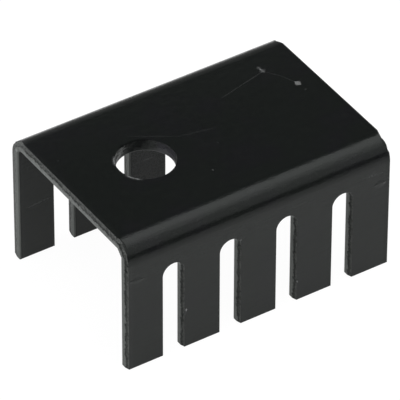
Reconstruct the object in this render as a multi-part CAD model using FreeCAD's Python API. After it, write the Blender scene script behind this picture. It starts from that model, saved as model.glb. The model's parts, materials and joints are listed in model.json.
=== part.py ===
"""Stamped channel heat sink for a power transistor, in one piece of black anodised aluminium sheet.

The sheet is blanked flat with a row of slots along both long edges and a screw hole near one end,
then folded twice into a channel that stands on the tips of its fins. The blank is punched from the
side that becomes the inside. So every cut edge has three bands: it is rolled over on the inner face,
then cut straight, and then torn, and the torn band falls back a little towards the outer face.
Folding pulls the outer edge of each bend in at both ends of the channel, and squeezes a small lip out
of its inner edge.

Millimetres. X runs along the channel, Y across it and +Z up. The origin lies in the plane of the
fin tips, under the middle of the channel. The part is the same on both sides of the XZ plane.
"""
import FreeCAD
import Part
import math
import os

from FreeCAD import Vector

# Overall sizes of the folded channel
LENGTH = 19.05
WIDTH = 13.3
HEIGHT = 9.53

# The sheet and its two bends
SHEET = 0.8
BEND_OUTSIDE_RADIUS = 1.45
BEND_INSIDE_RADIUS = 0.3

# Fins and the full-round slots between them, the same on both sides. The rows of slots are punched
# a little nearer to the end with the screw hole, so that end's fins are the narrowest.
FINS_PER_SIDE = 5
SLOT_WIDTH = 1.42
SLOT_CLEAR_OF_BEND = 1.14
SLOT_ROW_SHIFT = -0.12

# Screw hole in the web, on the centreline
HOLE_DIAMETER = 3.68
HOLE_FROM_END = 5.52

# What punching leaves on every cut edge
EDGE_ROLL = 0.14
TORN_DEPTH = 0.36
TORN_BACK = 0.065

# What folding leaves at the ends of each bend
BEND_DRAW = 0.25
DRAW_DEPTH = 0.55
DRAW_ANGLE = 33.0
DRAW_RUN_OUT = 0.01
LIP = 0.05
LIP_CROWN_RADIUS = 1.0
LIP_DEPTH = 0.52
LIP_CLEAR_OF_INSIDE = 0.07

# How far cutting tools reach past the sheet
TOOL_OVERRUN = 1.0

BEND_AXIS_Y = WIDTH / 2 - BEND_OUTSIDE_RADIUS
BEND_AXIS_Z = HEIGHT - BEND_OUTSIDE_RADIUS
FIN_WIDTH = (LENGTH - (FINS_PER_SIDE - 1) * SLOT_WIDTH) / FINS_PER_SIDE
SLOT_CROWN_Z = BEND_AXIS_Z - SLOT_CLEAR_OF_BEND
NEAR_END_X = -LENGTH / 2
HOLE_X = NEAR_END_X + HOLE_FROM_END

# A cutter for a torn band opens at this rate, and this far by the end of its overrun
TORN_SLOPE = TORN_BACK / TORN_DEPTH
TORN_OVERRUN = TORN_SLOPE * (TORN_DEPTH + TOOL_OVERRUN)


def channel_section(offset, radius, bottom):
    """Closed U section at a distance inside the outer faces, with its own bend radius."""
    flange_y = WIDTH / 2 - offset
    web_z = HEIGHT - offset
    centre_y = flange_y - radius
    centre_z = web_z - radius
    slant = radius * math.sin(math.pi / 4)
    outline = [
        Part.LineSegment(Vector(0, -flange_y, bottom), Vector(0, -flange_y, centre_z)),
        Part.Arc(
            Vector(0, -flange_y, centre_z),
            Vector(0, -centre_y - slant, centre_z + slant),
            Vector(0, -centre_y, web_z)),
        Part.LineSegment(Vector(0, -centre_y, web_z), Vector(0, centre_y, web_z)),
        Part.Arc(
            Vector(0, centre_y, web_z),
            Vector(0, centre_y + slant, centre_z + slant),
            Vector(0, flange_y, centre_z)),
        Part.LineSegment(Vector(0, flange_y, centre_z), Vector(0, flange_y, bottom)),
        Part.LineSegment(Vector(0, flange_y, bottom), Vector(0, -flange_y, bottom)),
    ]
    return Part.Face(Part.Wire([edge.toShape() for edge in outline]))


def folded_band(inner_offset, start_x, length):
    """The folded sheet drawn out along X, from its outer faces to a distance inside them."""
    outer = channel_section(0, BEND_OUTSIDE_RADIUS, 0)
    inner_radius = BEND_INSIDE_RADIUS + SHEET - inner_offset
    inner = channel_section(inner_offset, inner_radius, -TOOL_OVERRUN)
    outer.translate(Vector(start_x, 0, 0))
    inner.translate(Vector(start_x - TOOL_OVERRUN, 0, 0))
    solid = outer.extrude(Vector(length, 0, 0))
    hollow = inner.extrude(Vector(length + 2 * TOOL_OVERRUN, 0, 0))
    return solid.cut(hollow)


def polygon_face(points):
    return Part.Face(Part.makePolygon([Vector(*p) for p in points] + [Vector(*points[0])]))


def slot_cutters(centre_x):
    """One full-round slot, open at the fin tips: a straight cutter through both flanges at once,
    and on each side a flare for the torn band."""
    radius = SLOT_WIDTH / 2
    spring_z = SLOT_CROWN_Z - radius
    far_y = WIDTH / 2 + TOOL_OVERRUN
    left = centre_x - radius
    right = centre_x + radius
    foot_left = Vector(left, -far_y, -TOOL_OVERRUN)
    foot_right = Vector(right, -far_y, -TOOL_OVERRUN)
    spring_left = Vector(left, -far_y, spring_z)
    spring_right = Vector(right, -far_y, spring_z)
    crown = Vector(centre_x, -far_y, SLOT_CROWN_Z)
    outline = [
        Part.LineSegment(foot_left, spring_left),
        Part.Arc(spring_left, crown, spring_right),
        Part.LineSegment(spring_right, foot_right),
        Part.LineSegment(foot_right, foot_left),
    ]
    face = Part.Face(Part.Wire([edge.toShape() for edge in outline]))
    cutters = [face.extrude(Vector(0, 2 * far_y, 0))]
    torn_y = WIDTH / 2 - TORN_DEPTH
    for side in (-1, 1):
        cutters.append(Part.makeCone(
            radius, radius + TORN_OVERRUN, TORN_DEPTH + TOOL_OVERRUN,
            Vector(centre_x, side * torn_y, spring_z), Vector(0, side, 0)))
        trapezium = polygon_face((
            (left, side * torn_y, -TOOL_OVERRUN),
            (right, side * torn_y, -TOOL_OVERRUN),
            (right + TORN_OVERRUN, side * far_y, -TOOL_OVERRUN),
            (left - TORN_OVERRUN, side * far_y, -TOOL_OVERRUN)))
        cutters.append(trapezium.extrude(Vector(0, 0, spring_z + TOOL_OVERRUN)))
    return cutters


def slot_centres():
    """X of each slot: the row is evenly spaced, and shifted as a whole."""
    first = NEAR_END_X + FIN_WIDTH + SLOT_WIDTH / 2 + SLOT_ROW_SHIFT
    pitch = FIN_WIDTH + SLOT_WIDTH
    return [first + number * pitch for number in range(FINS_PER_SIDE - 1)]


def screw_hole_cutters():
    """Round cutter through the web, and a flare for the torn band."""
    radius = HOLE_DIAMETER / 2
    up = Vector(0, 0, 1)
    start = Vector(HOLE_X, 0, HEIGHT - SHEET - TOOL_OVERRUN)
    straight = Part.makeCylinder(radius, SHEET + 2 * TOOL_OVERRUN, start, up)
    flare = Part.makeCone(
        radius, radius + TORN_OVERRUN, TORN_DEPTH + TOOL_OVERRUN,
        Vector(HOLE_X, 0, HEIGHT - TORN_DEPTH), up)
    return [straight, flare]


def torn_end_cutters():
    """What tearing takes off both ends of the channel, round the whole U."""
    cutters = []
    for end in (-1, 1):
        edge_x = end * LENGTH / 2
        inside_x = edge_x - end * TORN_OVERRUN
        outside_x = edge_x + end * TOOL_OVERRUN

        def section(place):
            """The wedge's outline; place turns a depth below the outer face into y and z."""
            depths = ((edge_x, TORN_DEPTH), (inside_x, -TOOL_OVERRUN),
                      (outside_x, -TOOL_OVERRUN), (outside_x, TORN_DEPTH))
            return polygon_face([(x,) + place(depth) for x, depth in depths])

        web = section(lambda depth: (-BEND_AXIS_Y, HEIGHT - depth))
        cutters.append(web.extrude(Vector(0, 2 * BEND_AXIS_Y, 0)))
        for side in (-1, 1):
            flange = section(lambda depth: (side * (WIDTH / 2 - depth), -TOOL_OVERRUN))
            cutters.append(flange.extrude(Vector(0, 0, BEND_AXIS_Z + TOOL_OVERRUN)))
            bend = section(lambda depth: (side * (WIDTH / 2 - depth), BEND_AXIS_Z))
            axis_point = Vector(0, side * BEND_AXIS_Y, BEND_AXIS_Z)
            cutters.append(bend.revolve(axis_point, Vector(side, 0, 0), 90))
    return cutters


def torn_tip_cutters():
    """What tearing takes off the fin tips, on the outer side."""
    far_y = WIDTH / 2 + TOOL_OVERRUN
    torn_y = WIDTH / 2 - TORN_DEPTH
    start_x = NEAR_END_X - TOOL_OVERRUN
    cutters = []
    for side in (-1, 1):
        face = polygon_face((
            (start_x, side * torn_y, 0),
            (start_x, side * far_y, TORN_OVERRUN),
            (start_x, side * far_y, -TOOL_OVERRUN),
            (start_x, side * torn_y, -TOOL_OVERRUN)))
        cutters.append(face.extrude(Vector(LENGTH + 2 * TOOL_OVERRUN, 0, 0)))
    return cutters


def placed_at_bend(solid, end, side):
    """A solid made for the near end and the +Y bend, mirrored to another end or side."""
    if end > 0:
        solid = solid.mirror(Vector(0, 0, 0), Vector(1, 0, 0))
    if side < 0:
        solid = solid.mirror(Vector(0, 0, 0), Vector(0, 1, 0))
    return solid


def bend_draw_cutter():
    """What folding pulls away from the outer edge of one bend, at one end of the channel.

    The cut starts DRAW_DEPTH below the outer face and is BEND_DRAW deep at the outer face. It is
    deepest DRAW_ANGLE degrees down the bend from the web. It is a strip outside a cylinder whose axis
    lies square to that direction, so that it fades out along the web and before the flange.
    """
    reach = BEND_DRAW + DRAW_RUN_OUT
    radius = (DRAW_DEPTH ** 2 + reach ** 2) / (2 * reach)
    half_span = BEND_OUTSIDE_RADIUS + SHEET
    strip = Part.makeBox(radius + TOOL_OVERRUN, 2 * half_span, radius)
    strip.translate(Vector(-TOOL_OVERRUN, -half_span, 0))
    roller = Part.makeCylinder(
        radius, 4 * half_span, Vector(radius, -2 * half_span, 0), Vector(0, 1, 0))
    cutter = strip.cut(roller)
    cutter.translate(Vector(NEAR_END_X - DRAW_RUN_OUT, 0, BEND_OUTSIDE_RADIUS - DRAW_DEPTH))
    cutter.rotate(Vector(0, 0, 0), Vector(1, 0, 0), -DRAW_ANGLE)
    cutter.translate(Vector(0, BEND_AXIS_Y, BEND_AXIS_Z))
    return cutter


def bend_lip():
    """The low crown that folding squeezes out at the end of one bend, next to its inner edge."""
    reach = (BEND_OUTSIDE_RADIUS - LIP_DEPTH) * math.sin(math.pi / 4)
    centre = Vector(
        NEAR_END_X - LIP + LIP_CROWN_RADIUS, BEND_AXIS_Y + reach, BEND_AXIS_Z + reach)
    crown = Part.makeSphere(LIP_CROWN_RADIUS, centre)
    band = folded_band(SHEET - LIP_CLEAR_OF_INSIDE, NEAR_END_X - TOOL_OVERRUN, TOOL_OVERRUN + SHEET / 4)
    return crown.common(band)


def inside_distance(point):
    """Distance of a point from the inner face of the folded sheet, measured into the sheet."""
    inner_axis_y = WIDTH / 2 - SHEET - BEND_INSIDE_RADIUS
    inner_axis_z = HEIGHT - SHEET - BEND_INSIDE_RADIUS
    past_y = max(abs(point.y) - inner_axis_y, 0)
    past_z = max(point.z - inner_axis_z, 0)
    return math.hypot(past_y, past_z) - BEND_INSIDE_RADIUS


def is_sharp(solid, edge):
    """True where the two faces of an edge meet at an angle, and not in a smooth run."""
    middle = edge.valueAt((edge.FirstParameter + edge.LastParameter) / 2)
    normals = []
    for face in solid.ancestorsOfType(edge, Part.Face):
        u, v = face.Surface.parameter(middle)
        normals.append(face.normalAt(u, v))
    return len(normals) == 2 and normals[0].cross(normals[1]).Length > 0.1


def rolled_edges(solid):
    """All edges that the punch cut on the inner face: fins, slots, web ends and hole."""
    tolerance = 1e-4
    chosen = []
    for edge in solid.Edges:
        middle = edge.valueAt((edge.FirstParameter + edge.LastParameter) / 2)
        if abs(inside_distance(middle)) < tolerance and is_sharp(solid, edge):
            chosen.append(edge)
    return chosen


def heat_sink():
    """The finished part: folded, slotted, pierced, with its edges as punching and folding leave them."""
    bends = [(end, side) for end in (-1, 1) for side in (-1, 1)]
    body = folded_band(SHEET, NEAR_END_X, LENGTH)
    cutters = screw_hole_cutters() + torn_end_cutters() + torn_tip_cutters()
    for x in slot_centres():
        cutters += slot_cutters(x)
    cutters += [placed_at_bend(bend_draw_cutter(), end, side) for end, side in bends]
    body = body.cut(cutters).Solids[0]
    body = body.makeFillet(EDGE_ROLL, rolled_edges(body)).Solids[0]
    lips = [placed_at_bend(bend_lip(), end, side) for end, side in bends]
    return body.fuse(lips).removeSplitter().Solids[0]


def main():
    os.makedirs("parts", exist_ok=True)
    solid = heat_sink()
    solid.exportStep("parts/heat_sink.step")
    box = solid.optimalBoundingBox()
    print("heat_sink", "valid" if solid.isValid() else "NOT VALID")
    print("box", [round(v, 3) for v in (box.XMin, box.XMax, box.YMin, box.YMax, box.ZMin, box.ZMax)])
    print("volume", round(solid.Volume, 3), "faces", len(solid.Faces))


main()
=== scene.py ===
"""Bench scene of a stamped channel heat sink, laid out as an add-on.

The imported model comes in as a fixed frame, and its one node, the folded sheet, keeps its shape. This file
gives the sheet its black anodised finish with the bands that a punch leaves on every cut edge, and sets up
the floor, the lamps and the camera. Patterns read Object coordinates, turned into millimetres.
"""
import json
import math
from typing import NamedTuple

import bpy
from bpy.props import FloatProperty, FloatVectorProperty, PointerProperty
from bpy.types import Operator, Panel, PropertyGroup
from mathutils import Matrix, Vector


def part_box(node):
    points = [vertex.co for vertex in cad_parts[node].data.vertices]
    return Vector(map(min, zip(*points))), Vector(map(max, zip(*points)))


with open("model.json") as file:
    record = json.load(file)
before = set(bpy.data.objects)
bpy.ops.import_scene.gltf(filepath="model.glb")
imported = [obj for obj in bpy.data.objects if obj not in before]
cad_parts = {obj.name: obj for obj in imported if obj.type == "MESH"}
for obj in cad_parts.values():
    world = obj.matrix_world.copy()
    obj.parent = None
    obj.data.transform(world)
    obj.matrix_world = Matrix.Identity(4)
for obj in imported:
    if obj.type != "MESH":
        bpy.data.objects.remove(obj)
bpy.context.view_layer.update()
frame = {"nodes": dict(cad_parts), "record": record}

bl_info = {
    "name": "Channel Heat Sink",
    "version": (1, 0, 0),
    "blender": (4, 5, 0),
    "location": "3D View > Sidebar > Heat Sink",
    "description": "Finishes a stamped channel heat sink and sets up a bench scene around it",
    "category": "Object",
}

MM = 0.001
NODE = "heat_sink"

LOW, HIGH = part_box(NODE)
CENTRE = (LOW + HIGH) / 2
MOUNTS = {mount["name"]: mount for mount in frame["record"]["mounts"]}
SHEET = MOUNTS["outer_seat"]["pos_m"][2] - MOUNTS["inner_seat"]["pos_m"][2]
HOLE = Vector(MOUNTS["screw_hole"]["pos_m"])

# Faces of the sheet that carry marks, in millimetres in the frame: the web's outer face, the front flange's
# outer face and the rear flange's inner face.
TOP = HIGH.z / MM
FRONT = LOW.y / MM
REAR_INSIDE = (HIGH.y - SHEET) / MM

# Where masks fade over the folded sheet, in millimetres in the frame. The first is of y and z added up, the
# belt is a strip below both bends that gets a painted sheen, and the last is of the distance from the
# middle along X.
PAST_FRONT_BEND = (1.5, 4.5)
WEB_EDGE = (8.4, 8.8)
WEB_FACE = (8.6, 8.8)
WEB_BACK = (0.0, 6.0)
REAR_FLANGE = (4.8, 5.4)
BELT_BOTTOM = (3.5, 7.4)
BELT_TOP = (7.6, 8.4)
NEAR_ENDS = (9.15, 9.40)

# Lengths on the cut edges, in millimetres. A pair gives the two lengths between which a mask fades or a
# length varies. The margin is out from the rim of the hole, and the bottom is up from the hole's mount.
FACE_SKIN = (0.015, 0.030)
CHIP_DEPTH = 0.07
LINE_WANDER = (-0.05, 0.07)
LINE_JAGS = (-0.06, 0.06)
LINE_BLUR = 0.03
CRACK_SHIFT = 0.03
CRACK_WIDTHS = (0.03, 0.17)
BURR_GLINT_WANDER = (-0.08, 0.08)
BURR_GLINT_BAND = (0.04, 0.14)
HOLE_MARGIN = (0.10, 0.15)
HOLE_BOTTOM = (-1.0, -0.8)

# Relief of the surface, in millimetres.
GRAIN_RELIEF = 0.0016
WAVE_RELIEF = 0.014
END_RELIEF = 0.02
TORN_RELIEF = 0.12
CRACK_RELIEF = 0.03

# Noise patterns: features in a millimetre, octaves, strength of each finer octave and, where a pattern is
# drawn out or squeezed, a factor along each axis. Nearly all of a pattern lies within the span.
NOISE_SPAN = (0.3, 0.7)
NOISE_MIDDLE = 0.5
HAZE = (0.35, 2.0, 0.5)
BLOTCHES = (2.3, 4.0, 0.65)
GRAIN = (9.0, 3.0, 0.6)
WAVES = (5.5, 3.0, 0.6, (0.25, 1.0, 1.0))
CHIPS = (5.0, 3.0, 0.6)
WANDER = (1.3, 4.0, 0.6)
JAGS = (5.0, 2.0, 0.6)
BREAKS = (3.1, 3.0, 0.6)
STREAKS = (7.0, 2.0, 0.6)
MOTTLE = (5.5, 4.0, 0.65)
FLECKS = (8.0, 2.0, 0.6, (1.0, 0.6, 1.0))
RINGS = (2.4, 3.0, 0.6, (0.6, 0.6, 3.0))

# Sides of the screw hole's wall, in degrees round its axis from +X: the middle of the side, and half the
# angles over which its mask is full and over which it reaches. A step times the first value is level.
LEVEL = (1.0, 1.0, 0.0)
HAZY_SIDE = (8.0, 16.0, 34.0)
UNLIT_SIDE = (84.0, 22.0, 36.0)
RUBBED_SIDE = (135.0, 26.0, 44.0)

# Gloss of the dyed sheet. A mark stronger than the last value shows bare metal.
DYE_IOR = 1.36
DYE_TINT = (0.955, 1.0, 0.975)
FACE_ROUGHNESS = (0.19, 0.25)
BURNISHED_ROUGHNESS = 0.32
TORN_ROUGHNESS = 0.62
SCUFF_ROUGHNESS = 0.15
BURNISHED_METAL = 0.45
# Nearly black metal for painted shade in the cracks and on the unlit side of the hole.
CRACK_METAL = 0.6
UNLIT_METAL = 0.5
WORN_FROM = 0.6

# Each scratch in the anodising: start, end, width and strength, in millimetres. The first ones lie on the
# web, the next on the front flange and its fins, and the last on the inner side of the rear flange. The
# very last, wide and soft, is no scratch but a painted pool of light.
SCRATCHES_AND_LIGHT_POOL = (
    ((-3.69, 2.51, TOP), (-1.03, 0.78, TOP), 0.18, 0.16),
    ((-1.10, 0.84, TOP), (1.26, 0.34, TOP), 0.22, 0.18),
    ((3.19, 2.60, TOP), (4.88, 3.02, TOP), 0.14, 0.30),
    ((4.78, 3.00, TOP), (6.76, 3.47, TOP), 0.15, 0.38),
    ((6.80, 3.72, TOP), (6.86, 3.38, TOP), 0.62, 0.90),
    ((6.78, 4.05, TOP), (6.80, 3.75, TOP), 0.46, 0.76),
    ((6.94, 3.31, TOP), (7.52, 2.48, TOP), 0.12, 0.34),
    ((7.51, 2.50, TOP), (7.97, 1.35, TOP), 0.11, 0.30),
    ((7.91, 1.49, TOP), (8.05, 1.15, TOP), 0.60, 2.20),
    ((-1.16, -3.01, TOP), (-1.08, -3.09, TOP), 0.26, 0.80),
    ((8.02, 0.60, TOP), (8.07, 0.50, TOP), 0.36, 0.32),
    ((0.53, -0.97, TOP), (0.61, -1.03, TOP), 0.14, 0.30),
    ((-8.59, 2.80, TOP), (-8.49, 2.76, TOP), 0.16, 0.30),
    ((7.54, FRONT, 7.49), (8.95, FRONT, 7.40), 0.40, 0.28),
    ((8.04, FRONT, 7.53), (8.18, FRONT, 7.52), 0.34, 0.20),
    ((8.95, FRONT, 6.52), (9.05, FRONT, 6.50), 0.30, 0.20),
    ((6.42, FRONT, 6.92), (6.70, FRONT, 6.46), 0.44, 0.85),
    ((-1.52, FRONT, 6.66), (-1.38, FRONT, 6.64), 0.30, 0.90),
    ((2.65, FRONT, 4.28), (2.65, FRONT, 4.08), 0.30, 0.60),
    ((-5.35, FRONT, 3.02), (-5.36, FRONT, 2.88), 0.36, 1.10),
    ((-5.37, FRONT, 2.88), (-5.52, FRONT, 2.50), 0.24, 0.60),
    ((2.71, -6.63, 1.60), (2.77, FRONT, 1.44), 0.16, 1.20),
    ((-9.01, REAR_INSIDE, 3.94), (-7.32, REAR_INSIDE, 4.05), 0.34, 0.48),
    ((-1.20, REAR_INSIDE, 4.02), (0.20, REAR_INSIDE, 4.00), 0.30, 0.24),
    # Painted light: a wide soft patch that lightens the inner side of the rear flange.
    ((-0.10, REAR_INSIDE, 6.60), (-0.10, REAR_INSIDE, 1.60), 6.00, 0.55),
)

# Each raised crease in a face: start, end, width and height, in millimetres.
CREASES = (
    ((8.42, FRONT, 6.58), (9.12, FRONT, 6.59), 0.60, 0.030),
    ((-9.34, FRONT, 6.88), (-8.45, FRONT, 6.78), 0.44, 0.022),
)

# Each pit in the near end of the front flange, by its bend, which gets painted shade: start, end and width,
# in millimetres.
PITS = (
    ((-9.52, -6.42, 7.76), (-9.52, -6.43, 7.58), 0.46),
    ((-9.52, -6.58, 8.18), (-9.52, -6.58, 8.06), 0.40),
)

# Each burr on the rim of the screw hole, painted as a glint in bare metal: the middle of its arc and half
# its angle in degrees, its width in millimetres and its strength.
RIM_BURR_GLINTS = (
    (151.0, 17.0, 0.16, 1.15),
    (215.0, 22.0, 0.17, 1.3),
)

# The floor, in metres, and the paper on it: how brightly it glows, and the share of its reach over which it
# stays evenly pale.
FLOOR_SIZE = 6.0
FLOOR_ROUGHNESS = 0.9
PAPER_GLOW = 1.04
PAPER_EVEN = 0.26
WHITE = (1.0, 1.0, 1.0, 1.0)

# The camera: where it stands and what it looks at, in millimetres, the direction to its right, the width of
# its sensor in millimetres, and the nearest and farthest that it sees in metres.
CAMERA_PLACE = (-138.067, -212.038, 208.829)
CAMERA_AIM = (-0.0868, -0.0327, 4.687)
CAMERA_RIGHT = (0.83917, -0.54387, 0.00238)
CAMERA_SENSOR = 36.0
CAMERA_NEAR = 0.01
CAMERA_FAR = 20.0


class Lamp(NamedTuple):
    """A rectangular lamp, placed from the middle of the part, in metres.

    Its setting names the brightness on the stage, of which it takes a share. It faces the part unless a
    direction is given.
    """

    name: str
    place: tuple
    width: float
    height: float
    setting: str
    share: float = 1.0
    facing: tuple = None
    highlights: bool = True


# The top lamp and the middle lamp meet edge to edge. The lamps called fill give no highlights.
DOWN = (0.0, 0.0, -1.0)
LAMPS = (
    Lamp("top_lamp", (0.15, -0.03, 1.0), 2.0, 0.68, "top_light", facing=DOWN),
    Lamp("middle_lamp", (0.15, -0.575, 1.0), 2.0, 0.41, "middle_light", facing=DOWN),
    Lamp("front_lamp", (0.61, -1.057, 0.685), 2.2, 0.80, "front_light"),
    Lamp("back_lamp", (0.6, 1.31, 0.14), 2.0, 0.30, "back_light"),
    Lamp("back_sky", (0.6, 1.20, 0.53), 2.0, 0.51, "back_light", share=0.5),
    Lamp("front_fill", (-0.8, -1.6, 1.2), 1.6, 1.6, "fill_light", highlights=False),
    Lamp("left_fill", (-1.5, 0.5, 0.9), 1.4, 1.4, "fill_light", highlights=False),
    Lamp("top_fill", (0.0, 0.0, 2.0), 2.0, 2.0, "fill_light", highlights=False),
)


class SheetFinish(PropertyGroup):
    """Sizes and colours of the sheet's finish."""

    bend_radius: FloatProperty(
        name="Bend radius", description="Outside radius of both bends", default=1.45 * MM, unit="LENGTH")
    inner_radius: FloatProperty(
        name="Inner bend radius", description="Inside radius of both bends", default=0.3 * MM, unit="LENGTH")
    fracture_depth: FloatProperty(
        name="Fracture depth", description="How far the torn band reaches in from the outer face of a fin",
        default=0.29 * MM, unit="LENGTH")
    web_fracture_depth: FloatProperty(
        name="Web fracture depth", description="The same for the ends of the web and the rear fins",
        default=0.34 * MM, unit="LENGTH")
    rim_radius: FloatProperty(
        name="Hole rim", description="Radius of the screw hole at the outer face",
        default=1.92 * MM, unit="LENGTH")
    face_colour: FloatVectorProperty(
        name="Face", description="Dyed anodising on the rolled faces of the sheet",
        default=(0.0066, 0.0080, 0.0072), subtype="COLOR", size=3)
    haze_colour: FloatVectorProperty(
        name="Haze", description="Faint bluish patches in the dye",
        default=(0.0076, 0.0070, 0.0092), subtype="COLOR", size=3)
    # Paler dye in blotches, a painted sheen below the bends, and paler towards the back of the web.
    pale_dye_and_sheen_colour: FloatVectorProperty(
        name="Rubbed face", description="Dye that is a little thinner, as just below the bends",
        default=(0.0115, 0.0130, 0.0122), subtype="COLOR", size=3)
    burnished_colour: FloatVectorProperty(
        name="Burnished band", description="Cut metal that the punch has rubbed smooth",
        default=(0.100, 0.105, 0.101), subtype="COLOR", size=3)
    # Painted light on the web's ends and rear fins, and the pale rubbed side of the screw hole's wall.
    pale_metal_and_sheen_colour: FloatVectorProperty(
        name="Web burnished band", description="The same at the ends of the web and where dye is rubbed off",
        default=(0.164, 0.170, 0.166), subtype="COLOR", size=3)
    fracture_colour: FloatVectorProperty(
        name="Fracture band", description="Cut metal that has torn",
        default=(0.070, 0.075, 0.069), subtype="COLOR", size=3)
    # A lighter copy of the fracture colour, painting light on the web's ends and the rear fins.
    lit_fracture_colour: FloatVectorProperty(
        name="Web fracture band", description="The same at the ends of the web and on the rear fins",
        default=(0.122, 0.127, 0.122), subtype="COLOR", size=3)
    # Painted glint on the burr where a torn band meets the outer face.
    burr_glint_colour: FloatVectorProperty(
        name="Burr", description="Thin pale line where a torn band meets the outer face",
        default=(0.115, 0.121, 0.115), subtype="COLOR", size=3)
    # Dark dye in blotches and grain, and painted shade in the crack line, the pits and the hole's unlit
    # side.
    dark_dye_and_shade_colour: FloatVectorProperty(
        name="Crack", description="Thick dye in the broken line between the two bands and in dark spots",
        default=(0.006, 0.007, 0.007), subtype="COLOR", size=3)
    hole_colour: FloatVectorProperty(
        name="Hole wall", description="Dyed wall of the screw hole",
        default=(0.022, 0.024, 0.023), subtype="COLOR", size=3)
    hole_haze_colour: FloatVectorProperty(
        name="Hole haze", description="Bluish dye on the side of the hole away from the near end",
        default=(0.030, 0.029, 0.035), subtype="COLOR", size=3)
    # Also paints a pool of light on the inner side of the rear flange.
    scratch_colour: FloatVectorProperty(
        name="Scratch", description="Scuffed anodising",
        default=(0.05, 0.052, 0.052), subtype="COLOR", size=3)
    # Also paints the glints on the burrs at the screw hole's rim.
    bare_colour: FloatVectorProperty(
        name="Bare metal", description="Aluminium that shows where the anodising is gone",
        default=(0.52, 0.53, 0.53), subtype="COLOR", size=3)


class Stage(PropertyGroup):
    """Floor, lamps and camera."""

    floor_colour: FloatVectorProperty(
        name="Floor", description="Colour of the pale floor",
        default=(0.80, 0.80, 0.80), subtype="COLOR", size=3)
    floor_glow: FloatProperty(
        name="Floor glow", description="Share of the floor that shows plain white to the camera",
        default=0.93, min=0.0, max=1.0, subtype="FACTOR")
    reflected_glow: FloatProperty(
        name="Reflected glow", description="Share of the floor that shows plain white in reflections",
        default=0.55, min=0.0, max=1.0, subtype="FACTOR")
    paper_reach: FloatProperty(
        name="Paper reach", description="How far out the floor shows pale in reflections",
        default=0.115, min=0.0, unit="LENGTH")
    paper_shift: FloatProperty(
        name="Paper shift", description="How far behind the part the middle of that pale patch lies",
        default=0.03, unit="LENGTH")
    room_light: FloatProperty(
        name="Room light", description="Brightness of the room around the bench", default=0.05, min=0.0)
    top_light: FloatProperty(
        name="Top lamp", description="Brightness of the lamp overhead", default=1.9, min=0.0)
    middle_light: FloatProperty(
        name="Middle lamp", description="Brightness of the strip between the top and front lamps",
        default=1.3, min=0.0)
    front_light: FloatProperty(
        name="Front lamp", description="Brightness of the lamp in front", default=0.7, min=0.0)
    back_light: FloatProperty(
        name="Back lamp", description="Brightness of the low lamp behind", default=0.42, min=0.0)
    fill_light: FloatProperty(
        name="Fill lamp", description="Brightness of the lamps that give no highlights",
        default=0.8, min=0.0)
    focal_length: FloatProperty(
        name="Focal length", description="Lens of the camera, in millimetres on a 36 mm sensor",
        default=475.18, min=1.0)


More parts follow.
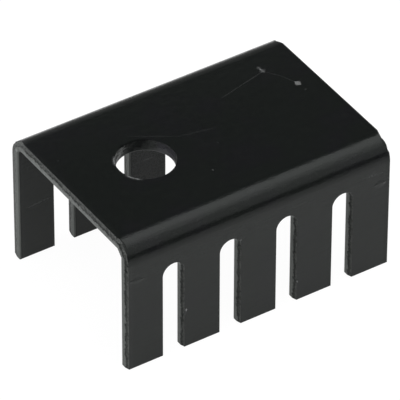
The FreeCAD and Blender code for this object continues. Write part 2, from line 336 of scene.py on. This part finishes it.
class Wiring:
    """Adds nodes to one tree. Its methods take sockets or plain values, and return the new output."""

    def __init__(self, tree):
        self.tree = tree

    def node(self, kind, **settings):
        """A new node, with its settings made."""
        node = self.tree.nodes.new(kind)
        for name, value in settings.items():
            setattr(node, name, value)
        return node

    def feed(self, socket, value):
        """Links an output to a socket, or sets a plain value on it."""
        if isinstance(value, bpy.types.NodeSocket):
            self.tree.links.new(value, socket)
        else:
            socket.default_value = value

    def maths(self, operation, *values, clamp=False):
        """One operation on values."""
        node = self.node("ShaderNodeMath", operation=operation, use_clamp=clamp)
        for socket, value in zip(node.inputs, values):
            self.feed(socket, value)
        return node.outputs[0]

    def product(self, first, *others):
        """All values multiplied."""
        for other in others:
            first = self.maths("MULTIPLY", first, other)
        return first

    def highest(self, first, *others):
        """The highest of the values."""
        for other in others:
            first = self.maths("MAXIMUM", first, other)
        return first

    def vector(self, operation, *values, output="Vector"):
        """One operation on vectors."""
        node = self.node("ShaderNodeVectorMath", operation=operation)
        for socket, value in zip(node.inputs, values):
            self.feed(socket, value)
        return node.outputs[output]

    def length(self, vector):
        """Length of a vector."""
        return self.vector("LENGTH", vector, output="Value")

    def scaled(self, vector, factor):
        """A vector times a value."""
        node = self.node("ShaderNodeVectorMath", operation="SCALE")
        self.feed(node.inputs[0], vector)
        self.feed(node.inputs["Scale"], factor)
        return node.outputs["Vector"]

    def parts(self, vector):
        """The X, Y and Z of a vector."""
        node = self.node("ShaderNodeSeparateXYZ")
        self.feed(node.inputs[0], vector)
        return node.outputs

    def joined(self, x, y, z):
        """A vector of three values."""
        node = self.node("ShaderNodeCombineXYZ")
        for socket, value in zip(node.inputs, (x, y, z)):
            self.feed(socket, value)
        return node.outputs[0]

    def ease(self, value, start, end, low=0.0, high=1.0):
        """Runs smoothly from low to high while the value runs from start to end."""
        node = self.node("ShaderNodeMapRange", interpolation_type="SMOOTHSTEP")
        for socket, given in zip(node.inputs, (value, start, end, low, high)):
            self.feed(socket, given)
        return node.outputs[0]

    def fade(self, distance, reach):
        """Falls evenly from 1 at no distance to 0 at the reach."""
        return self.maths("SUBTRACT", 1.0, self.maths("DIVIDE", distance, reach), clamp=True)

    def noise(self, place, scale, detail, roughness, stretch=None):
        """A noise pattern from 0 to 1."""
        if stretch is not None:
            place = self.vector("MULTIPLY", place, stretch)
        node = self.node("ShaderNodeTexNoise")
        self.feed(node.inputs["Vector"], place)
        self.feed(node.inputs["Scale"], scale)
        self.feed(node.inputs["Detail"], detail)
        self.feed(node.inputs["Roughness"], roughness)
        return node.outputs[0]

    def blend(self, factor, first, second):
        """Value between two values."""
        node = self.node("ShaderNodeMix", data_type="FLOAT")
        self.feed(node.inputs["Factor"], factor)
        self.feed(node.inputs["A"], first)
        self.feed(node.inputs["B"], second)
        return node.outputs["Result"]

    def mix(self, factor, first, second):
        """Colour between two colours."""
        node = self.node("ShaderNodeMix", data_type="RGBA")
        self.feed(node.inputs["Factor"], factor)
        self.feed(node.inputs["A"], rgba(first))
        self.feed(node.inputs["B"], rgba(second))
        return node.outputs["Result"]

    def coats(self, colour, *layers):
        """Lays colours over the first one in turn. Each layer is a mask and its colour."""
        for mask, over in layers:
            colour = self.mix(mask, colour, over)
        return colour

    def group(self, tree, **values):
        """Outputs of a placed group. Its inputs are given by name, with _ for each space."""
        node = self.node("ShaderNodeGroup", node_tree=tree)
        for name, value in values.items():
            self.feed(node.inputs[name.replace("_", " ")], value)
        return node.outputs


def rgba(colour):
    """A colour with alpha, or the socket as it came."""
    if isinstance(colour, bpy.types.NodeSocket):
        return colour
    return tuple(colour)[:3] + (1.0,)


FLOAT = "NodeSocketFloat"
VECTOR = "NodeSocketVector"


def new_group(name, inputs, outputs):
    """An empty shader node group. Inputs and outputs are pairs of a name and a kind of socket."""
    tree = bpy.data.node_groups.new(name, "ShaderNodeTree")
    for label, kind in inputs:
        tree.interface.new_socket(name=label, in_out="INPUT", socket_type=kind)
    for label, kind in outputs:
        tree.interface.new_socket(name=label, in_out="OUTPUT", socket_type=kind)
    wiring = Wiring(tree)
    source = wiring.node("NodeGroupInput").outputs
    target = wiring.node("NodeGroupOutput").inputs
    return wiring, source, target


def sheet_section_group(finish):
    """Where a point lies in the folded sheet.

    Place is the point in millimetres, Foot the nearest point of the outer face, Depth its distance below
    the outer face, and Cut is 1 on the edges that the punch cut.
    """
    wiring, _, target = new_group(
        "Sheet section", [], [("Place", VECTOR), ("Foot", VECTOR), ("Depth", FLOAT), ("Cut", FLOAT)])
    radius = finish.bend_radius / MM
    inner_radius = finish.inner_radius / MM
    half_width = HIGH.y / MM
    thickness = SHEET / MM
    place = wiring.scaled(wiring.node("ShaderNodeTexCoord").outputs["Object"], 1 / MM)
    _, y, z = wiring.parts(place)
    side = wiring.maths("SIGN", y)
    out = wiring.maths("ABSOLUTE", y)

    def arm(offset):
        """Step to the point from what lies this far inside the outer face.

        That is a plane under the web or beside a flange, or the line where both planes meet, which the
        bend turns about.
        """
        past_y = wiring.maths("MAXIMUM", wiring.maths("SUBTRACT", out, half_width - offset), 0.0)
        past_z = wiring.maths("MAXIMUM", wiring.maths("SUBTRACT", z, TOP - offset), 0.0)
        return wiring.joined(0.0, wiring.maths("MULTIPLY", past_y, side), past_z)

    outer_arm = arm(radius)
    inner_arm = arm(thickness + inner_radius)
    depth = wiring.maths("SUBTRACT", radius, wiring.length(outer_arm))
    rise = wiring.maths("SUBTRACT", wiring.length(inner_arm), inner_radius)
    outward = wiring.scaled(wiring.vector("NORMALIZE", outer_arm), depth)
    chips = wiring.ease(wiring.noise(place, *CHIPS), 0.52, 0.72, high=CHIP_DEPTH)
    below_outer = wiring.ease(wiring.maths("SUBTRACT", depth, chips), *FACE_SKIN)
    above_inner = wiring.ease(rise, *FACE_SKIN)
    wiring.feed(target["Place"], place)
    wiring.feed(target["Foot"], wiring.vector("ADD", place, outward))
    wiring.feed(target["Depth"], depth)
    wiring.feed(target["Cut"], wiring.maths("MULTIPLY", below_outer, above_inner))
    return wiring.tree


def punched_edge_group():
    """The bands of a punched edge: smooth next to the inner face, torn next to the outer face.

    Torn is 1 on the torn band, Crack marks the broken line between the bands, Streak runs through the
    thickness, Mottle is the torn metal's grain and Height its relief in millimetres.
    """
    wiring, source, target = new_group(
        "Punched edge",
        [("Place", VECTOR), ("Foot", VECTOR), ("Depth", FLOAT), ("Fracture depth", FLOAT)],
        [("Torn", FLOAT), ("Crack", FLOAT), ("Streak", FLOAT), ("Mottle", FLOAT), ("Height", FLOAT)])
    wander = wiring.ease(wiring.noise(source["Foot"], *WANDER), *NOISE_SPAN, *LINE_WANDER)
    jags = wiring.ease(wiring.noise(source["Foot"], *JAGS), *NOISE_SPAN, *LINE_JAGS)
    line = wiring.maths("ADD", wiring.maths("ADD", source["Fracture depth"], wander), jags)
    past_line = wiring.maths("SUBTRACT", source["Depth"], line)
    torn = wiring.ease(past_line, -LINE_BLUR, LINE_BLUR, low=1.0, high=0.0)
    off_crack = wiring.maths("ABSOLUTE", wiring.maths("ADD", past_line, CRACK_SHIFT))
    crack_width = wiring.ease(wiring.noise(source["Place"], *BREAKS), 0.38, 0.62, *CRACK_WIDTHS)
    crack = wiring.fade(off_crack, crack_width)
    mottle = wiring.noise(source["Place"], *MOTTLE)
    grain_height = wiring.product(torn, wiring.maths("SUBTRACT", mottle, NOISE_MIDDLE), TORN_RELIEF)
    height = wiring.maths("SUBTRACT", grain_height, wiring.maths("MULTIPLY", crack, CRACK_RELIEF))
    wiring.feed(target["Torn"], torn)
    wiring.feed(target["Crack"], crack)
    wiring.feed(target["Streak"], wiring.noise(source["Foot"], *STREAKS))
    wiring.feed(target["Mottle"], mottle)
    wiring.feed(target["Height"], height)
    return wiring.tree


def scratch_group():
    """A straight scratch between two points, 1 along its middle line and narrowing towards its ends."""
    wiring, source, target = new_group(
        "Scratch",
        [("Place", VECTOR), ("Start", VECTOR), ("End", VECTOR), ("Width", FLOAT)],
        [("Mark", FLOAT)])
    tip_share = 0.15
    middle_share = 0.50
    run = wiring.vector("SUBTRACT", source["End"], source["Start"])
    gap = wiring.vector("SUBTRACT", source["Place"], source["Start"])
    projected = wiring.vector("DOT_PRODUCT", gap, run, output="Value")
    length_squared = wiring.vector("DOT_PRODUCT", run, run, output="Value")
    along = wiring.maths("DIVIDE", projected, length_squared, clamp=True)
    distance = wiring.vector("DISTANCE", gap, wiring.scaled(run, along), output="Value")
    swell = wiring.product(along, wiring.maths("SUBTRACT", 1.0, along), 4.0)
    share = wiring.maths("MULTIPLY_ADD", swell, middle_share - tip_share, tip_share)
    half_width = wiring.maths("MULTIPLY", source["Width"], share)
    wiring.feed(target["Mark"], wiring.fade(distance, half_width))
    return wiring.tree


def hole_sector_group():
    """1 around one direction from the axis of the screw hole.

    Towards points in that direction, Full is the cosine of the angle from it where the mask starts to
    fade, and Reach the cosine of the angle where it ends.
    """
    wiring, source, target = new_group(
        "Hole sector",
        [("Place", VECTOR), ("Towards", VECTOR), ("Reach", FLOAT), ("Full", FLOAT)],
        [("Sector", FLOAT)])
    gap = wiring.vector("SUBTRACT", source["Place"], HOLE / MM)
    spoke = wiring.vector("NORMALIZE", wiring.vector("MULTIPLY", gap, LEVEL))
    facing = wiring.vector("DOT_PRODUCT", spoke, source["Towards"], output="Value")
    wiring.feed(target["Sector"], wiring.ease(facing, source["Reach"], source["Full"]))
    return wiring.tree


def hole_wall_group(finish):
    """Wall is 1 on the wall of the screw hole, and Off rim is the distance from its upper rim."""
    wiring, source, target = new_group(
        "Hole wall", [("Place", VECTOR)], [("Wall", FLOAT), ("Off rim", FLOAT)])
    gap = wiring.vector("SUBTRACT", source["Place"], HOLE / MM)
    off_axis = wiring.length(wiring.vector("MULTIPLY", gap, LEVEL))
    beyond_rim = wiring.maths("SUBTRACT", off_axis, finish.rim_radius / MM)
    above_rim = wiring.maths("SUBTRACT", wiring.parts(source["Place"])["Z"], TOP)
    beside = wiring.ease(beyond_rim, *HOLE_MARGIN, low=1.0, high=0.0)
    level = wiring.ease(wiring.parts(gap)["Z"], *HOLE_BOTTOM)
    wiring.feed(target["Wall"], wiring.maths("MULTIPLY", beside, level))
    wiring.feed(target["Off rim"], wiring.length(wiring.joined(beyond_rim, above_rim, 0.0)))
    return wiring.tree


class SheetSurface:
    """Looks of the folded sheet, worked out over its surface. Its methods return sockets."""

    def __init__(self, wiring, finish):
        self.wiring = wiring
        self.finish = finish
        section = wiring.group(sheet_section_group(finish))
        self.place = section["Place"]
        self.depth = section["Depth"]
        self.cut = section["Cut"]
        self.x, self.y, self.z = wiring.parts(self.place)
        self.past_front = wiring.ease(wiring.maths("ADD", self.y, self.z), *PAST_FRONT_BEND)
        self.web = wiring.ease(self.z, *WEB_EDGE)
        self.rear = wiring.ease(self.y, *REAR_FLANGE)
        fracture_depth = wiring.blend(
            self.past_front, finish.fracture_depth / MM, finish.web_fracture_depth / MM)
        self.edge = wiring.group(
            punched_edge_group(), Place=self.place, Foot=section["Foot"], Depth=self.depth,
            Fracture_depth=fracture_depth)
        self.hole = wiring.group(hole_wall_group(finish), Place=self.place)
        self.grain = wiring.noise(self.place, *GRAIN)
        self.blotches = wiring.noise(self.place, *BLOTCHES)
        self.scratch_tree = scratch_group()
        self.sector_tree = hole_sector_group()
        # The scratch colour also paints a pool of light, and bare metal the glints on the rim burrs.
        scratches_and_painted_light = self.scratches()
        self.scuffs_and_painted_light = wiring.maths("MINIMUM", scratches_and_painted_light, 1.0)
        self.wear_and_glints = wiring.maths("SUBTRACT", scratches_and_painted_light, WORN_FROM, clamp=True)
        # Masks for painted shade in the crack line and in the pits.
        self.crack = self.crack_shade_mask()
        self.pit_shade = wiring.highest(*(wiring.ease(self.mark(*pit), 0.1, 0.5) for pit in PITS))
        self.unlit = wiring.product(
            self.sector(*UNLIT_SIDE), wiring.ease(self.blotches, 0.45, 0.60, low=1.0, high=0.4))

    def mark(self, start, end, width):
        """Mask of one straight mark."""
        return self.wiring.group(
            self.scratch_tree, Place=self.place, Start=start, End=end, Width=width)["Mark"]

    def marks(self, table):
        """Straight marks added up, each times the last value of its row."""
        total = 0.0
        for start, end, width, strength in table:
            total = self.wiring.maths("MULTIPLY_ADD", self.mark(start, end, width), strength, total)
        return total

    def sector(self, middle, full, reach):
        """Mask around one direction from the hole's axis, all angles in degrees."""
        angle = math.radians(middle)
        return self.wiring.group(
            self.sector_tree, Place=self.place, Towards=(math.cos(angle), math.sin(angle), 0.0),
            Reach=math.cos(math.radians(reach)), Full=math.cos(math.radians(full)))["Sector"]

    def scratches(self):
        """Scratches, a painted pool of light and the painted glints of the rim burrs, broken up by the
        grain.
        """
        wiring = self.wiring
        scratches_and_painted_light = self.marks(SCRATCHES_AND_LIGHT_POOL)
        # Painted glints: each rim burr is drawn towards bare metal.
        for middle, half_angle, width, strength in RIM_BURR_GLINTS:
            band = wiring.fade(self.hole["Off rim"], width)
            burr = wiring.maths("MULTIPLY", band, self.sector(middle, 0.0, half_angle))
            scratches_and_painted_light = wiring.maths("MULTIPLY_ADD", burr, strength, scratches_and_painted_light)
        return wiring.product(scratches_and_painted_light, wiring.ease(self.grain, 0.25, 0.55, low=0.5))

    def crack_shade_mask(self):
        """Painted shade in the broken line between the bands, fainter on the rear flange and broken up by
        the grain.
        """
        strength = self.wiring.blend(self.rear, 0.95, 0.45)
        breaks = self.wiring.ease(self.grain, 0.34, 0.50, low=0.35)
        return self.wiring.product(self.edge["Crack"], strength, breaks)

    def face_colour(self):
        """Dye on the rolled faces: faint haze, blotches of thicker and thinner dye, a painted sheen in a
        belt below the bends, and paler towards the back of the web.
        """
        wiring = self.wiring
        finish = self.finish
        haze = wiring.ease(wiring.noise(self.place, *HAZE), 0.45, 0.70, high=0.6)
        # Painted sheen in a belt below both bends; the web is also made paler towards its back.
        belt = wiring.product(
            wiring.ease(self.z, *BELT_BOTTOM), wiring.ease(self.z, *BELT_TOP, low=1.0, high=0.0))
        web_back = wiring.product(
            wiring.ease(self.z, *WEB_FACE), wiring.ease(self.y, *WEB_BACK, high=0.3))
        thick_dye = wiring.ease(self.blotches, 0.3, 0.6, low=0.6, high=0.0)
        thin_dye = wiring.ease(self.blotches, 0.5, 0.7, high=0.35)
        return wiring.coats(
            finish.face_colour,
            (haze, finish.haze_colour),
            (wiring.maths("ADD", belt, web_back), finish.pale_dye_and_sheen_colour),
            (thick_dye, finish.dark_dye_and_shade_colour),
            (thin_dye, finish.pale_dye_and_sheen_colour))

    def burnished_colour(self):
        """Smooth band of a cut edge, with duller streaks through the thickness and dull grain. The ends of
        the web take a lighter copy of the colour as painted light.
        """
        wiring = self.wiring
        finish = self.finish
        streaks = wiring.ease(self.edge["Streak"], *NOISE_SPAN, high=0.5)
        dull_grain = wiring.ease(self.grain, 0.50, 0.64, high=0.5)
        return wiring.coats(
            finish.burnished_colour,
            # Painted light: the ends of the web take a lighter copy of the burnished colour.
            (self.web, finish.pale_metal_and_sheen_colour),
            (streaks, finish.fracture_colour),
            (dull_grain, finish.fracture_colour))

    def torn_colour(self):
        """Torn band of a cut edge, dark in its grain, with a painted glint on the burr along the outer face.

        The ends of the web and the rear fins take lighter copies of the colour as painted light, and the
        web's ends get pale flecks in the same way.
        """
        wiring = self.wiring
        finish = self.finish
        dark_grain = wiring.ease(self.edge["Mottle"], 0.35, 0.65, low=0.6, high=0.0)
        dark_flecks = wiring.ease(wiring.noise(self.place, *FLECKS), 0.52, 0.62, high=0.8)
        wander = wiring.ease(self.edge["Streak"], *NOISE_SPAN, *BURR_GLINT_WANDER)
        off_face = wiring.maths("ADD", self.depth, wander)
        # Painted highlight: the burr along the outer face is drawn as a pale line.
        burr = wiring.ease(off_face, *BURR_GLINT_BAND, low=0.7, high=0.0)
        painted_light_on_rear = wiring.product(self.rear, 0.55)
        pale_flecks = wiring.product(self.web, wiring.ease(self.grain, 0.36, 0.48, low=0.7, high=0.0))
        return wiring.coats(
            finish.fracture_colour,
            # Painted light: the web's ends and the rear fins take a lighter copy of the torn colour.
            (self.past_front, finish.lit_fracture_colour),
            (dark_grain, finish.dark_dye_and_shade_colour),
            (dark_flecks, finish.dark_dye_and_shade_colour),
            (burr, finish.burr_glint_colour),
            # Painted light on the rear fins' torn bands, and pale flecks in the same copy on the web's ends.
            (painted_light_on_rear, finish.pale_metal_and_sheen_colour),
            (pale_flecks, finish.pale_metal_and_sheen_colour))

    def hole_wall_colour(self):
        """Dyed wall of the screw hole: hazy on one side, unlit behind and rubbed pale on the other side."""
        wiring = self.wiring
        finish = self.finish
        thin_dye = wiring.ease(self.blotches, 0.35, 0.50)
        rings = wiring.ease(wiring.noise(self.place, *RINGS), 0.46, 0.54)
        rubbed = wiring.product(self.sector(*RUBBED_SIDE), rings)
        return wiring.coats(
            finish.dark_dye_and_shade_colour,
            (thin_dye, finish.hole_colour),
            (self.sector(*HAZY_SIDE), finish.hole_haze_colour),
            (self.unlit, finish.dark_dye_and_shade_colour),
            (rubbed, finish.pale_metal_and_sheen_colour))

    def colour(self):
        """Faces, cut edges and the hole's wall, with all marks on them."""
        finish = self.finish
        edge_colour = self.wiring.coats(
            self.burnished_colour(),
            (self.edge["Torn"], self.torn_colour()),
            # Painted shade in the crack line and in the pits.
            (self.crack, finish.dark_dye_and_shade_colour),
            (self.pit_shade, finish.dark_dye_and_shade_colour),
            (self.hole["Wall"], self.hole_wall_colour()))
        return self.wiring.coats(
            self.face_colour(),
            (self.cut, edge_colour),
            (self.scuffs_and_painted_light, finish.scratch_colour),
            (self.wear_and_glints, finish.bare_colour))

    def metal(self):
        """Share of bare metal: the burnished bands, spots of wear and the glints on the rim burrs.

        Nearly black metal reflects less than the dye does, so it also paints shade into the cracks and pits,
        and on the unlit side of the hole.
        """
        wiring = self.wiring
        wall = self.hole["Wall"]
        smooth = wiring.maths("SUBTRACT", 1.0, wiring.maths("MAXIMUM", self.edge["Torn"], wall))
        burnished = wiring.product(self.cut, smooth, BURNISHED_METAL)
        # Painted shade: nearly black metal in the cracks, and on the unlit side of the hole.
        crack_shade = wiring.product(self.crack, wiring.maths("SUBTRACT", CRACK_METAL, wall, clamp=True))
        unlit = wiring.product(self.unlit, wall, UNLIT_METAL)
        return wiring.highest(burnished, self.wear_and_glints, self.pit_shade, crack_shade, unlit)

    def roughness(self):
        """Satin faces and burnished bands, dull torn bands, and a little duller under the scratches and the
        painted pool of light.
        """
        wiring = self.wiring
        face = wiring.ease(self.grain, *NOISE_SPAN, *FACE_ROUGHNESS)
        edge = wiring.ease(self.edge["Torn"], 0.0, 1.0, BURNISHED_ROUGHNESS, TORN_ROUGHNESS)
        clean = wiring.blend(self.cut, face, edge)
        return wiring.maths("MULTIPLY_ADD", self.scuffs_and_painted_light, SCUFF_ROUGHNESS, clean)

    def height(self):
        """Relief in millimetres: grain, waves and creases in the faces, and the torn bands."""
        wiring = self.wiring
        face = wiring.product(wiring.maths("SUBTRACT", self.grain, NOISE_MIDDLE), GRAIN_RELIEF)
        face = wiring.maths("MULTIPLY_ADD", wiring.noise(self.place, *WAVES), WAVE_RELIEF, face)
        near_ends = wiring.ease(wiring.maths("ABSOLUTE", self.x), *NEAR_ENDS, high=END_RELIEF)
        face = wiring.maths("MULTIPLY_ADD", self.edge["Mottle"], near_ends, face)
        face = wiring.maths("ADD", face, self.marks(CREASES))
        return wiring.blend(self.cut, face, self.edge["Height"])


def black_anodised_material(finish):
    """Black anodised sheet with punched edges, light scratches and a few spots of wear, with painted sheen,
    glints, light and shade.
    """
    material = bpy.data.materials.new("Black anodised sheet")
    material.use_nodes = True
    wiring = Wiring(material.node_tree)
    shader = material.node_tree.nodes["Principled BSDF"]
    surface = SheetSurface(wiring, finish)
    wiring.feed(shader.inputs["Base Color"], surface.colour())
    wiring.feed(shader.inputs["Metallic"], surface.metal())
    wiring.feed(shader.inputs["Roughness"], surface.roughness())
    shader.inputs["IOR"].default_value = DYE_IOR
    shader.inputs["Specular Tint"].default_value = rgba(DYE_TINT)
    bump = wiring.node("ShaderNodeBump")
    bump.inputs["Distance"].default_value = MM
    wiring.feed(bump.inputs["Height"], surface.height())
    wiring.feed(shader.inputs["Normal"], bump.outputs["Normal"])
    return material


def floor_material(stage):
    """Pale floor that is near white to the camera and keeps a soft shadow.

    In reflections it is a sheet of paper with a dark bench beyond it.
    """
    material = bpy.data.materials.new("Pale floor")
    material.use_nodes = True
    wiring = Wiring(material.node_tree)
    shader = material.node_tree.nodes["Principled BSDF"]
    shader.inputs["Base Color"].default_value = rgba(stage.floor_colour)
    shader.inputs["Roughness"].default_value = FLOOR_ROUGHNESS
    shader.inputs["Specular IOR Level"].default_value = 0.0
    path = wiring.node("ShaderNodeLightPath").outputs
    mirrored = wiring.maths("MAXIMUM", path["Is Glossy Ray"], path["Is Transmission Ray"])
    place = wiring.node("ShaderNodeTexCoord").outputs["Object"]
    away = wiring.length(wiring.vector("SUBTRACT", place, (0.0, stage.paper_shift, 0.0)))
    off_paper = wiring.ease(away, PAPER_EVEN * stage.paper_reach, stage.paper_reach)
    bench = wiring.maths("MULTIPLY", mirrored, off_paper)
    glow = wiring.node("ShaderNodeEmission")
    glow.inputs["Color"].default_value = WHITE
    wiring.feed(glow.inputs["Strength"], wiring.blend(bench, PAPER_GLOW, stage.room_light))
    share = wiring.maths("MULTIPLY", path["Is Camera Ray"], stage.floor_glow)
    share = wiring.maths("MULTIPLY_ADD", mirrored, stage.reflected_glow, share)
    share = wiring.maths("MAXIMUM", share, bench)
    blend = wiring.node("ShaderNodeMixShader")
    wiring.feed(blend.inputs[0], share)
    wiring.feed(blend.inputs[1], shader.outputs[0])
    wiring.feed(blend.inputs[2], glow.outputs[0])
    wiring.feed(material.node_tree.nodes["Material Output"].inputs["Surface"], blend.outputs[0])
    return material


def add_floor(stage):
    """Lays the floor that the fin tips stand on."""
    bpy.ops.mesh.primitive_plane_add(size=FLOOR_SIZE, location=(0, 0, 0))
    floor = bpy.context.object
    floor.name = "floor"
    floor.data.materials.append(floor_material(stage))


def add_lamp(scene, stage, lamp):
    """Hangs one lamp. Its brightness is the light that its surface sends out."""
    brightness = getattr(stage, lamp.setting) * lamp.share
    facing = Vector(lamp.facing) if lamp.facing else -Vector(lamp.place)
    data = bpy.data.lights.new(lamp.name, "AREA")
    data.shape = "RECTANGLE"
    data.size = lamp.width
    data.size_y = lamp.height
    data.energy = brightness * math.pi * lamp.width * lamp.height
    lamp_object = bpy.data.objects.new(lamp.name, data)
    scene.collection.objects.link(lamp_object)
    lamp_object.location = CENTRE + Vector(lamp.place)
    lamp_object.rotation_euler = facing.to_track_quat("-Z", "Y").to_euler()
    lamp_object.visible_glossy = lamp.highlights


def add_room(scene, stage):
    """Puts a dim room around the bench."""
    world = bpy.data.worlds.new("Dim room")
    world.use_nodes = True
    background = world.node_tree.nodes["Background"]
    background.inputs["Color"].default_value = WHITE
    background.inputs["Strength"].default_value = stage.room_light
    scene.world = world


def add_camera(scene, stage):
    """Sets the camera at the photograph's viewing angle."""
    data = bpy.data.cameras.new("camera")
    data.sensor_width = CAMERA_SENSOR
    data.lens = stage.focal_length
    data.clip_start = CAMERA_NEAR
    data.clip_end = CAMERA_FAR
    camera = bpy.data.objects.new("camera", data)
    scene.collection.objects.link(camera)
    place = Vector(CAMERA_PLACE) * MM
    back = (place - Vector(CAMERA_AIM) * MM).normalized()
    right = Vector(CAMERA_RIGHT)
    right = (right - back * right.dot(back)).normalized()
    up = back.cross(right)
    turn = Matrix((right, up, back)).transposed()
    camera.matrix_world = Matrix.Translation(place) @ turn.to_4x4()
    scene.camera = camera


class HEATSINK_OT_finish(Operator):
    """Give the folded sheet its black anodised finish"""

    bl_idname = "heatsink.finish"
    bl_label = "Finish the sheet"

    def execute(self, context):
        material = black_anodised_material(context.scene.heat_sink_finish)
        for slot in frame["nodes"][NODE].material_slots:
            slot.material = material
        return {"FINISHED"}


class HEATSINK_OT_stage(Operator):
    """Set up the floor, the lamps, the room and the camera"""

    bl_idname = "heatsink.stage"
    bl_label = "Set the stage"

    def execute(self, context):
        scene = context.scene
        stage = scene.heat_sink_stage
        add_floor(stage)
        for lamp in LAMPS:
            add_lamp(scene, stage, lamp)
        add_room(scene, stage)
        add_camera(scene, stage)
        scene.view_settings.view_transform = "Standard"
        return {"FINISHED"}


class HEATSINK_PT_panel(Panel):
    """Lists the steps and the settings"""

    bl_idname = "HEATSINK_PT_panel"
    bl_label = "Channel Heat Sink"
    bl_space_type = "VIEW_3D"
    bl_region_type = "UI"
    bl_category = "Heat Sink"

    def draw(self, context):
        layout = self.layout
        for operator, settings in (
                (HEATSINK_OT_finish, context.scene.heat_sink_finish),
                (HEATSINK_OT_stage, context.scene.heat_sink_stage)):
            box = layout.box()
            for name in settings.bl_rna.properties.keys():
                if name not in ("rna_type", "name"):
                    box.prop(settings, name)
            box.operator(operator.bl_idname)


CLASSES = (SheetFinish, Stage, HEATSINK_OT_finish, HEATSINK_OT_stage, HEATSINK_PT_panel)


def register():
    for item in CLASSES:
        bpy.utils.register_class(item)
    bpy.types.Scene.heat_sink_finish = PointerProperty(type=SheetFinish)
    bpy.types.Scene.heat_sink_stage = PointerProperty(type=Stage)


def unregister():
    del bpy.types.Scene.heat_sink_stage
    del bpy.types.Scene.heat_sink_finish
    for item in reversed(CLASSES):
        bpy.utils.unregister_class(item)


def main():
    register()
    bpy.ops.heatsink.finish()
    bpy.ops.heatsink.stage()


if __name__ == "__main__":
    main()
